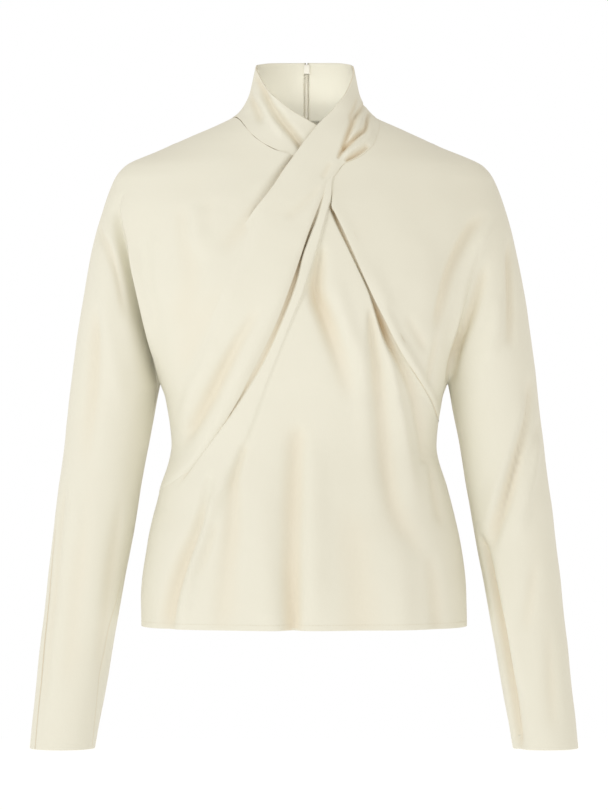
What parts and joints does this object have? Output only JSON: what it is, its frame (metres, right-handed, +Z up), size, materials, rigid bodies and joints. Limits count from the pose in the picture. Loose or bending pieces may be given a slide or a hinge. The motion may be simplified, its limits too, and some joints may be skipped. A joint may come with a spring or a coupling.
{
  "type": "high neck top",
  "caption": "Hollow long-sleeved top with a high neck, a drape crossed over the front from the neck to the side seam, and a concealed back zip.",
  "frame": {"origin": "middle of the base of the neck, level with the shoulders' inner ends, where the wearer's shoulders carry the top", "axes": "+Z up, front faces -Y, +X towards the wearer's left sleeve"},
  "size_m": [0.6016, 0.237, 0.7538],
  "materials": {
    "cloth": "ivory satin-backed crepe, soft sheen",
    "zip_tape": "ivory woven tape, matt",
    "zip_coil": "ivory nylon coil",
    "zip_slider": "ivory lacquered metal"
  },
  "bodies": {
    "garment": {"front_right": "cloth", "front_left": "cloth", "front_lower": "cloth", "cross_drape": "cloth", "back_right": "cloth", "back_left": "cloth", "collar_front_right": "cloth", "collar_front_left": "cloth", "collar_back_right": "cloth", "collar_back_left": "cloth", "zip_tape_right": "zip_tape", "zip_tape_left": "zip_tape", "zip_coil": "zip_coil", "zip_slider": "zip_slider"},
    "zip_pull": {"zip_pull": "zip_slider"}
  },
  "joints": [
    {"name": "pull_swing", "type": "hinge", "parent": "garment", "child": "zip_pull", "pos_m": [0.003, 0.04646, 0.05657], "axis": [1, 0, 0], "range_deg": [0, 165]}
  ]
}
